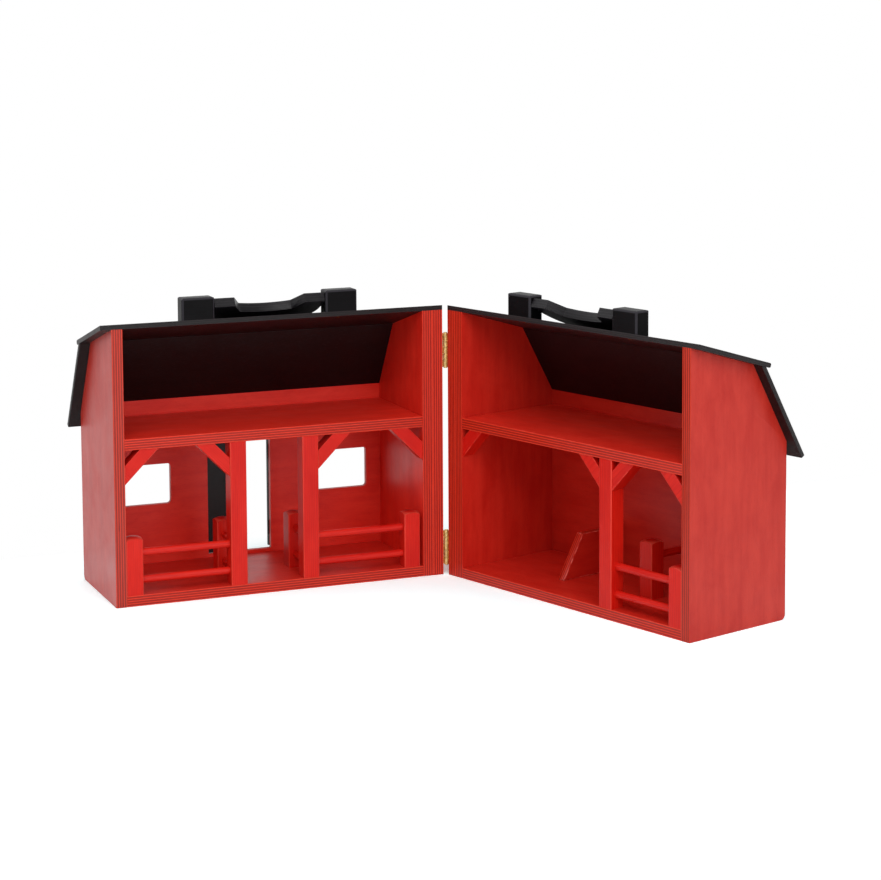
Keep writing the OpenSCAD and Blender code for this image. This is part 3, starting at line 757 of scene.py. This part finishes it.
class WoodFinishes:
    """Makes the materials of the wooden pieces, one for each board or stick."""

    def __init__(self, effects: SharedEffects) -> None:
        """Keeps the shared effects.

        Args:
            effects: The shader groups that the finishes use.
        """
        self.effects = effects
        self._seed = 0

    def _next_seed(self) -> float:
        """Gives each piece its own stretch of the figure."""
        self._seed += 1
        return round(self._seed * SEED_STEP, 2)

    def _start(self, name: str, grain: GrainFrame) -> tuple[bpy.types.Material, Graph, Any, Any, Any]:
        """Starts a material with its grain coordinates.

        Args:
            name: The material's name.
            grain: Directions of the piece's grain.

        Returns:
            The material, its graph, its Principled shader, the grain position and the grain normal.
        """
        material = bpy.data.materials.new(name)
        material.use_nodes = True
        graph = Graph(material.node_tree)
        shader = material.node_tree.nodes["Principled BSDF"]
        source = graph.node("ShaderNodeTexCoord")
        turn = grain.rotation.to_euler("XYZ")
        place = graph.node("ShaderNodeMapping", vector_type="POINT")
        graph.feed(place.inputs["Vector"], source.outputs["Object"])
        graph.feed(place.inputs["Location"], grain.shift)
        graph.feed(place.inputs["Rotation"], turn)
        facing = graph.node("ShaderNodeMapping", vector_type="VECTOR")
        graph.feed(facing.inputs["Vector"], source.outputs["Normal"])
        graph.feed(facing.inputs["Rotation"], turn)
        return material, graph, shader, place.outputs[0], facing.outputs[0]

    def _finish(
        self,
        graph: Graph,
        shader: Any,
        stain: Stain,
        colour: Input,
        height: Input,
        place: Input,
        seed: float,
        wear_and_highlight: bool,
    ) -> None:
        """Adds wear, the painted highlight on eased edges, and gloss, and joins them to the shader.

        Args:
            graph: The material's graph.
            shader: Its Principled shader.
            stain: The stain.
            colour: Colour before wear.
            height: Relief of the grain.
            place: The grain position.
            seed: The piece's seed.
            wear_and_highlight: Whether this is the finish of the piece's eased edges, paler from wear and from a
                painted highlight.
        """
        use = graph.use(self.effects.handled, Place=place, Seed=seed)
        # eased edges move towards a paler colour under the wear mask: partly wear, partly a painted highlight on the
        # arris
        if wear_and_highlight:
            share = graph.math("MULTIPLY", use.outputs["Wear"], stain.wear_and_highlight_share)
            colour = graph.mix(share, colour, stain.wear_and_highlight)
        cloud = graph.math("SUBTRACT", use.outputs["Cloud"], 0.5)
        gloss = graph.plus(stain.roughness, cloud, WEAR.gloss_swing)
        gloss = graph.plus(gloss, use.outputs["Scuff"], WEAR.scuff_dull, clamp=True)
        bump = graph.node("ShaderNodeBump")
        graph.feed(bump.inputs["Strength"], 1.0)
        graph.feed(bump.inputs["Distance"], GRAIN_RELIEF)
        graph.feed(bump.inputs["Height"], height)
        graph.feed(shader.inputs["Base Color"], colour)
        graph.feed(shader.inputs["Roughness"], gloss)
        graph.feed(shader.inputs["Specular IOR Level"], stain.sheen)
        graph.feed(shader.inputs["Normal"], bump.outputs[0])

    def ply(self, name: str, stain: Stain, grain: GrainFrame, thickness: float, plies: int) -> list[bpy.types.Material]:
        """Makes the finish of a ply board and of its eased edges, which are paler from wear and from a painted
        highlight.

        Args:
            name: The board's name.
            stain: The stain on it.
            grain: Directions of its face grain and of its layers.
            thickness: The board's thickness in millimetres.
            plies: How many layers it has.

        Returns:
            The board's material and that of its eased edges.
        """
        seed = self._next_seed()
        made = []
        for wear_and_highlight in (False, True):
            label = f"{name}_rubbed" if wear_and_highlight else name
            material, graph, shader, place, facing = self._start(label, grain)
            face = graph.use(self.effects.birch_face, Grain=place, Seed=seed)
            edge = graph.use(
                self.effects.ply_edge,
                Grain=place,
                Normal=facing,
                Thickness=thickness * MM,
                Plies=float(plies),
                Seed=seed,
            )
            on_face = graph.mix(face.outputs["Tone"], stain.rich, stain.pale)
            on_edge = graph.mix(edge.outputs["Tone"], stain.edge_rich, stain.edge_pale)
            colour = graph.mix(edge.outputs["Edge"], on_face, on_edge)
            height = graph.between(
                edge.outputs["Edge"],
                graph.math("MULTIPLY", face.outputs["Height"], stain.face_bump),
                graph.math("MULTIPLY", edge.outputs["Height"], stain.edge_bump),
            )
            self._finish(graph, shader, stain, colour, height, place, seed, wear_and_highlight)
            made.append(material)
        return made

    def solid(
        self, name: str, stain: Stain, grain: GrainFrame, ring: float = RED_RING, arris_highlight: float = 0.0
    ) -> list[bpy.types.Material]:
        """Makes the finish of a solid stick or block and of its eased edges, which are paler from wear and from a
        painted highlight.

        Args:
            name: The piece's name.
            stain: The stain on it.
            grain: Directions of its grain.
            ring: Width of a growth ring in millimetres.
            arris_highlight: Strength of the painted highlight on its rounded edges, 0 to 1.

        Returns:
            The piece's material and that of its eased edges.
        """
        seed = self._next_seed()
        made = []
        for wear_and_highlight in (False, True):
            label = f"{name}_rubbed" if wear_and_highlight else name
            material, graph, shader, place, facing = self._start(label, grain)
            wood = graph.use(self.effects.timber, Grain=place, Ring=ring * MM, Seed=seed)
            end = graph.step(graph.math("ABSOLUTE", graph.parts(facing)[0]), *TIMBER.end_span)
            side = graph.mix(wood.outputs["Tone"], stain.rich, stain.pale)
            cut = graph.mix(wood.outputs["Tone"], stain.edge_rich, stain.rich)
            colour = graph.mix(end, side, cut)
            # rounded edges, whose normal is off every axis, are painted towards the paler colour: a painted highlight
            if arris_highlight:
                squareness = 0.0
                for part in graph.parts(facing):
                    squareness = graph.math("MAXIMUM", graph.math("ABSOLUTE", part), squareness)
                rounded = graph.step(squareness, *TIMBER.rounded_span, arris_highlight, 0.0)
                colour = graph.mix(rounded, colour, stain.wear_and_highlight)
            height = graph.math("MULTIPLY", wood.outputs["Height"], stain.face_bump)
            self._finish(graph, shader, stain, colour, height, place, seed, wear_and_highlight)
            made.append(material)
        return made


@dataclass(frozen=True)
class Metal:
    """Colours and gloss of a rolled metal, bare or painted."""

    name: str
    bright: Colour
    dull: Colour
    roughness: float
    metallic: float
    lines: Pattern = Pattern((900, 900, 6200), 2.0, 0.6)
    line_strength: float = 0.4
    line_relief: float = 0.0001
    wear_scale: float = 2.5
    wear_seed: float = 4.0
    worn_share: float = 0.6
    gloss_swing: float = 0.2

    def material(self, effects: SharedEffects) -> bpy.types.Material:
        """Makes the metal's material.

        Args:
            effects: The shader groups that the finishes use.

        Returns:
            The material.
        """
        material = bpy.data.materials.new(self.name)
        material.use_nodes = True
        graph = Graph(material.node_tree)
        shader = material.node_tree.nodes["Principled BSDF"]
        place = graph.node("ShaderNodeTexCoord").outputs["Object"]
        spread = graph.stretch(place, (self.wear_scale, self.wear_scale, self.wear_scale))
        use = graph.use(effects.handled, Place=spread, Seed=self.wear_seed)
        worn = graph.math("MULTIPLY", use.outputs["Wear"], self.worn_share)
        colour = graph.mix(worn, self.bright, self.dull)
        gloss = graph.plus(self.roughness - self.gloss_swing / 2, use.outputs["Cloud"], self.gloss_swing)
        bump = graph.node("ShaderNodeBump")
        graph.feed(bump.inputs["Strength"], self.line_strength)
        graph.feed(bump.inputs["Distance"], self.line_relief)
        graph.feed(bump.inputs["Height"], graph.noise(self.lines, place))
        graph.feed(shader.inputs["Base Color"], colour)
        graph.feed(shader.inputs["Metallic"], self.metallic)
        graph.feed(shader.inputs["Roughness"], gloss)
        graph.feed(shader.inputs["Normal"], bump.outputs[0])
        return material


BRASS = Metal("brass", bright=srgb(222, 184, 122), dull=srgb(134, 96, 52), roughness=0.26, metallic=1.0)
BLACK_STEEL = Metal("black_steel", bright=srgb(34, 29, 29), dull=srgb(20, 16, 17), roughness=0.42, metallic=0.0)


@dataclass(frozen=True)
class Easing:
    """How far the edges of a piece are rounded over."""

    width: float
    segments: int = 2


BOARD_EASING = Easing(0.7)
ROOF_EASING = Easing(0.8)
STICK_EASING = Easing(0.6)
STALL_EASING = Easing(1.0)
GRIP_EASING = Easing(1.6, 3)
WELD_DISTANCE = 0.001
SHARP_ANGLE = 35.0


class Dresser:
    """Gives the solids their finishes and eases their edges."""

    def __init__(self, nodes: dict[str, bpy.types.Object]) -> None:
        """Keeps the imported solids.

        Args:
            nodes: The solids by name.
        """
        self.nodes = nodes
        self.dressed: set[str] = set()

    def dress(self, name: str, materials: Sequence[bpy.types.Material], easing: Easing | None = None) -> None:
        """Puts materials on a solid and rounds over its sharp edges.

        Args:
            name: The solid's name.
            materials: Its material, and that of its eased edges if it has one, which are paler from wear and from a
                painted highlight.
            easing: How far its edges are rounded over, or None to leave them.
        """
        piece = self.nodes[name]
        piece.material_slots[0].material = materials[0]
        if easing is not None:
            piece.data.materials.append(materials[-1])
            weld = piece.modifiers.new("joined_faces", "WELD")
            weld.merge_threshold = WELD_DISTANCE * MM
            bevel = piece.modifiers.new("eased_edges", "BEVEL")
            bevel.width = easing.width * MM
            bevel.segments = easing.segments
            bevel.limit_method = "ANGLE"
            bevel.angle_limit = math.radians(SHARP_ANGLE)
            bevel.harden_normals = True
            bevel.use_clamp_overlap = True
            # the bevel faces take the second material, paler from wear and from a painted highlight
            bevel.material = 1 if len(materials) > 1 else -1
        self.dressed.add(name)
        LOG.info("%s dressed in %s", name, materials[0].name)


@dataclass
class HalfBarn:
    """Boards, posts and fences of one half barn."""

    side: Side
    woods: WoodFinishes
    dresser: Dresser
    frame: HalfFrame = field(init=False)

    def __post_init__(self) -> None:
        """Works out where this half stands."""
        self.frame = HalfFrame(self.side)

    def grain(self, along: Way, through: Way, origin: Vector) -> GrainFrame:
        """Gives the grain directions of a piece of this half.

        Args:
            along: Way of the grain.
            through: Way of the layers.
            origin: A point on the piece's first face.

        Returns:
            The grain's frame.
        """
        return GrainFrame(origin, self.frame.way(along), self.frame.way(through))

    def _board(self, name: str, along: Way, through: Way, corner: tuple[float, float, float]) -> None:
        """Dresses a red board.

        Args:
            name: The board's name without its side.
            along: Way of its face grain.
            through: Way of its layers.
            corner: A corner on its first face, along the length, depth and height.
        """
        full = f"{self.side.value}_{name}"
        thick, plies = (SIZES.wall, PLIES.wall) if name == "back_wall" else (SIZES.board, PLIES.board)
        # some boards take lightened or darkened copies of the red ply as painted light and shade
        stain = BOARD_STAINS_WITH_PAINTED_LIGHT.get(full, RED_PLY)
        grain = self.grain(along, through, self.frame.point(*corner))
        self.dresser.dress(full, self.woods.ply(full, stain, grain, thick, plies), BOARD_EASING)

    def dress_boards(self) -> None:
        """Dresses the gables, the back wall, the floor and the loft."""
        last = SIZES.half_length - SIZES.board
        self._board("far_gable", Way.HEIGHT, Way.LENGTH, (last, 0, 0))
        self._board("hinge_gable", Way.HEIGHT, Way.LENGTH, (SIZES.board, 0, 0))
        self._board("hinge_facing", Way.HEIGHT, Way.LENGTH, (0, 0, 0))
        self._board("back_wall", Way.LENGTH, Way.DEPTH, (0, SIZES.half_depth - SIZES.wall, 0))
        self._board("floor", Way.LENGTH, Way.HEIGHT, (0, 0, 0))
        self._board("loft", Way.LENGTH, Way.HEIGHT, (0, 0, SIZES.loft_top - SIZES.board))

    def dress_roof(self) -> None:
        """Dresses the two roof boards."""
        knee = SIZES.ridge_height - SIZES.knee_depth * math.tan(math.radians(SIZES.upper_pitch))
        slopes = {
            "upper_roof": (Way.UPPER_OUT, (0, 0, SIZES.ridge_height)),
            "steep_roof": (Way.STEEP_OUT, (0, SIZES.knee_depth, knee)),
        }
        for name, (out, corner) in slopes.items():
            full = f"{self.side.value}_{name}"
            grain = self.grain(Way.LENGTH, out, self.frame.point(*corner))
            finish = self.woods.ply(full, ROOF_BLACK, grain, SIZES.roof, PLIES.roof)
            self.dresser.dress(full, finish, ROOF_EASING)

    def dress_sticks(self, upright: Sequence[str], lengthwise: Sequence[str], deep: Sequence[str]) -> None:
        """Dresses posts and rails.

        Args:
            upright: Posts, whose grain runs up.
            lengthwise: Rails along the half's length.
            deep: Rails along its depth.
        """
        ways = [(upright, Way.HEIGHT, Way.DEPTH), (lengthwise, Way.LENGTH, Way.HEIGHT), (deep, Way.DEPTH, Way.HEIGHT)]
        for names, along, through in ways:
            for name in names:
                full = f"{self.side.value}_{name}"
                low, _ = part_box(full)
                is_post = name.endswith("post")
                # posts get a painted highlight on their rounded edges
                arris_highlight = POST_ARRIS_HIGHLIGHT if is_post else 0.0
                finish = self.woods.solid(full, RED_TIMBER, self.grain(along, through, low), arris_highlight=arris_highlight)
                self.dresser.dress(full, finish, STICK_EASING if is_post else None)

    def dress_braces(self) -> None:
        """Dresses the slanted braces under the loft."""
        full = f"{self.side.value}_braces"
        low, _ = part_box(full)
        finish = self.woods.solid(full, RED_TIMBER, self.grain(Way.BRACE, Way.DEPTH, low))
        self.dresser.dress(full, finish, STICK_EASING)


@dataclass
class CarryingHandle:
    """The blocks and the swinging grip of one half's handle."""

    half: HalfBarn

    def dress(self) -> None:
        """Dresses the blocks, the grip and its pins."""
        side = self.half.side.value
        woods, dresser = self.half.woods, self.half.dresser
        for name in (f"{side}_near_block", f"{side}_far_block"):
            low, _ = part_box(name)
            grain = self.half.grain(Way.LENGTH, Way.HEIGHT, low)
            # the blocks take the darker copy of the handle's black as painted shade, and a painted highlight on their
            # rounded edges
            dresser.dress(name, woods.solid(name, BLOCK_BLACK_PAINTED_SHADE, grain, HANDLE_RING, BLOCK_ARRIS_HIGHLIGHT))
        low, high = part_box(f"{side}_grip")
        grain = self.half.grain(Way.LENGTH, Way.GRIP_OUT, (low + high) / 2)
        finish = woods.ply(f"{side}_grip", HANDLE_BLACK, grain, SIZES.grip, PLIES.grip)
        dresser.dress(f"{side}_grip", finish, GRIP_EASING)
        pins = f"{side}_grip_pins"
        dresser.dress(pins, woods.solid(pins, HANDLE_BLACK, self.half.grain(Way.LENGTH, Way.HEIGHT, low), HANDLE_RING))


@dataclass
class Doors:
    """The pair of doors in the left half's back wall."""

    half: HalfBarn

    def dress(self) -> None:
        """Dresses the leaves and their knobs."""
        for name in ("far_door", "near_door"):
            low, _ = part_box(name)
            grain = self.half.grain(Way.HEIGHT, Way.DEPTH, low)
            finish = self.half.woods.ply(name, ROOF_BLACK, grain, SIZES.door, PLIES.door)
            self.half.dresser.dress(name, finish, BOARD_EASING)
            knob = f"{name}_knob"
            grain = self.half.grain(Way.DEPTH, Way.HEIGHT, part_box(knob)[0])
            self.half.dresser.dress(knob, self.half.woods.solid(knob, HANDLE_BLACK, grain, KNOB_RING))


WHITE: Colour = (1.0, 1.0, 1.0, 1.0)


@dataclass(frozen=True)
class Lamp:
    """A soft round lamp: its place and width in metres, its power, and the strength of its reflection."""

    name: str
    place: tuple[float, float, float]
    size: float
    watts: float
    gloss: float

    def hang(self, target: Vector) -> None:
        """Hangs the lamp so that it points at the barn.

        Args:
            target: The point that the lamp faces, in metres.
        """
        data = bpy.data.lights.new(self.name, "AREA")
        data.shape = "DISK"
        data.size = self.size
        data.energy = self.watts
        data.specular_factor = self.gloss
        lamp = bpy.data.objects.new(self.name, data)
        lamp.location = self.place
        aim = target - Vector(self.place)
        lamp.rotation_euler = aim.to_track_quat("-Z", "Y").to_euler()
        lamp.visible_camera = False
        bpy.context.scene.collection.objects.link(lamp)


LAMPS = (
    Lamp("key", (-0.2, -2.0, 1.7), 1.4, 17.0, 0.3),
    Lamp("front", (0.4, -2.5, 0.5), 1.0, 8.0, 0.15),
    Lamp("fill", (-1.3, -1.5, 1.9), 1.2, 10.0, 0.4),
    Lamp("top", (0.1, 0.1, 2.3), 1.6, 5.0, 1.0),
)


@dataclass
class Studio:
    """Pale floor, soft lights and the camera."""

    image_width: int = 881
    image_height: int = 880
    sensor: float = 36.0
    focal_px: float = 2446.0
    centre_x: float = 440.7
    centre_y: float = 230.0
    camera_place: tuple[float, float, float] = (-830.8, -2557.8, 669.2)
    camera_yaw: float = -22.25
    camera_pitch: float = -5.97
    camera_roll: float = -0.31
    floor_radius: float = 60.0
    floor_sides: int = 96
    floor_seen: Colour = (1.24, 1.5, 1.52, 1.0)
    floor_bounced: Colour = (0.8, 0.8, 0.8, 1.0)
    glow_distance: Span = (0.5, 1.1)
    glow_behind: Span = (0.12, 0.2)
    view_depth: Span = (0.05, 500.0)
    lamp_target: tuple[float, float, float] = (0.1, -0.05, 0.13)
    world_light: float = 0.7
    world_front_gloss: float = 0.12
    world_back: Span = (-0.55, 0.1)

    def set_camera(self) -> None:
        """Places the camera at the photograph's viewing angle."""
        data = bpy.data.cameras.new("view")
        data.sensor_width = self.sensor
        data.lens = self.focal_px / self.image_width * self.sensor
        data.shift_x = (self.image_width / 2 - self.centre_x) / self.image_width
        data.shift_y = (self.centre_y - self.image_height / 2) / self.image_width
        data.clip_start, data.clip_end = self.view_depth
        camera = bpy.data.objects.new("view", data)
        yaw = Matrix.Rotation(math.radians(self.camera_yaw), 4, "Z")
        pitch = Matrix.Rotation(math.radians(90 + self.camera_pitch), 4, "X")
        roll = Matrix.Rotation(math.radians(self.camera_roll), 4, "Z")
        camera.matrix_world = Matrix.Translation(Vector(self.camera_place) * MM) @ yaw @ pitch @ roll
        bpy.context.scene.collection.objects.link(camera)
        bpy.context.scene.camera = camera

    def lay_floor(self) -> None:
        """Lays the pale floor, which keeps the barn's shadow."""
        mesh = bpy.data.meshes.new("floor")
        count = self.floor_sides
        ring = [
            (self.floor_radius * math.cos(angle), self.floor_radius * math.sin(angle), 0.0)
            for angle in (math.tau * i / count for i in range(count))
        ]
        mesh.from_pydata(ring, [], [tuple(range(count))])
        floor = bpy.data.objects.new("floor", mesh)
        bpy.context.scene.collection.objects.link(floor)
        material = bpy.data.materials.new("pale_floor")
        material.use_nodes = True
        graph = Graph(material.node_tree)
        material.node_tree.nodes.remove(material.node_tree.nodes["Principled BSDF"])
        path = graph.node("ShaderNodeLightPath")
        diffuse = graph.node("ShaderNodeBsdfDiffuse")
        seen = graph.math("MAXIMUM", path.outputs["Is Camera Ray"], path.outputs["Is Glossy Ray"])
        graph.feed(diffuse.inputs["Color"], graph.mix(seen, self.floor_bounced, self.floor_seen))
        glow = graph.node("ShaderNodeEmission")
        graph.feed(glow.inputs["Color"], WHITE)
        place = graph.node("ShaderNodeTexCoord").outputs["Object"]
        away = graph.node("ShaderNodeVectorMath", operation="LENGTH")
        graph.feed(away.inputs[0], place)
        behind = graph.step(graph.parts(place)[1], *self.glow_behind)
        far = graph.math("MAXIMUM", graph.step(away.outputs["Value"], *self.glow_distance), behind)
        blend = graph.node("ShaderNodeMixShader")
        graph.feed(blend.inputs[0], graph.math("MULTIPLY", far, seen))
        graph.feed(blend.inputs[1], diffuse.outputs[0])
        graph.feed(blend.inputs[2], glow.outputs[0])
        graph.feed(material.node_tree.nodes["Material Output"].inputs["Surface"], blend.outputs[0])
        floor.data.materials.append(material)

    def light_world(self) -> None:
        """Gives soft light from all sides and a white background."""
        world = bpy.data.worlds.new("studio")
        world.use_nodes = True
        bpy.context.scene.world = world
        graph = Graph(world.node_tree)
        sky = world.node_tree.nodes["Background"]
        path = graph.node("ShaderNodeLightPath")
        seen = graph.math("MAXIMUM", path.outputs["Is Camera Ray"], path.outputs["Is Glossy Ray"])
        seen = graph.math("MAXIMUM", seen, path.outputs["Is Transmission Ray"])
        graph.feed(sky.inputs["Color"], WHITE)
        direction = graph.parts(graph.node("ShaderNodeTexCoord").outputs["Generated"])
        back = graph.step(direction[1], *self.world_back)
        mirrored = graph.between(path.outputs["Is Glossy Ray"], 1.0, graph.between(back, self.world_front_gloss, 1.0))
        graph.feed(sky.inputs["Strength"], graph.between(seen, self.world_light, mirrored))

    def set_up(self) -> None:
        """Sets up the whole studio."""
        bpy.context.scene.view_settings.view_transform = "Standard"
        self.set_camera()
        self.lay_floor()
        self.light_world()
        for lamp in LAMPS:
            lamp.hang(Vector(self.lamp_target))


def main() -> None:
    """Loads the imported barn, dresses it, and sets up the studio."""
    logging.basicConfig(level=logging.INFO, format="%(name)s: %(message)s")
    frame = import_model()
    studio = Studio()
    studio.set_up()
    effects = SharedEffects()
    woods = WoodFinishes(effects)
    dresser = Dresser(frame["nodes"])

    left = HalfBarn(Side.LEFT, woods, dresser)
    right = HalfBarn(Side.RIGHT, woods, dresser)
    for half in (left, right):
        half.dress_boards()
        half.dress_roof()
        half.dress_braces()
        CarryingHandle(half).dress()
    left.dress_sticks(
        upright=(
            "outer_post",
            "inner_post",
            "far_fence_post",
            "near_fence_post",
            "outer_divider_post",
            "inner_divider_post",
        ),
        lengthwise=("far_rails", "near_rails"),
        deep=("divider_rails",),
    )
    right.dress_sticks(
        upright=("tall_post", "far_fence_post", "stall_post"),
        lengthwise=("far_rails",),
        deep=("stall_rails",),
    )
    # the stall board's finish paints a pale highlight on its eased edges
    board = right.grain(Way.DEPTH, Way.LENGTH, right.frame.point(SIZES.stall_board_place, 0, 0))
    finish = woods.ply("right_stall_board", STALL_PLY_PAINTED_HIGHLIGHT, board, SIZES.stall_board, PLIES.stall_board)
    dresser.dress("right_stall_board", finish, STALL_EASING)
    Doors(left).dress()

    brass, steel = BRASS.material(effects), BLACK_STEEL.material(effects)
    for name in sorted(set(frame["nodes"]) - dresser.dressed):
        dresser.dress(name, [steel if "door" in name or name.startswith("wall_") else brass])


if __name__ == "__main__":
    main()
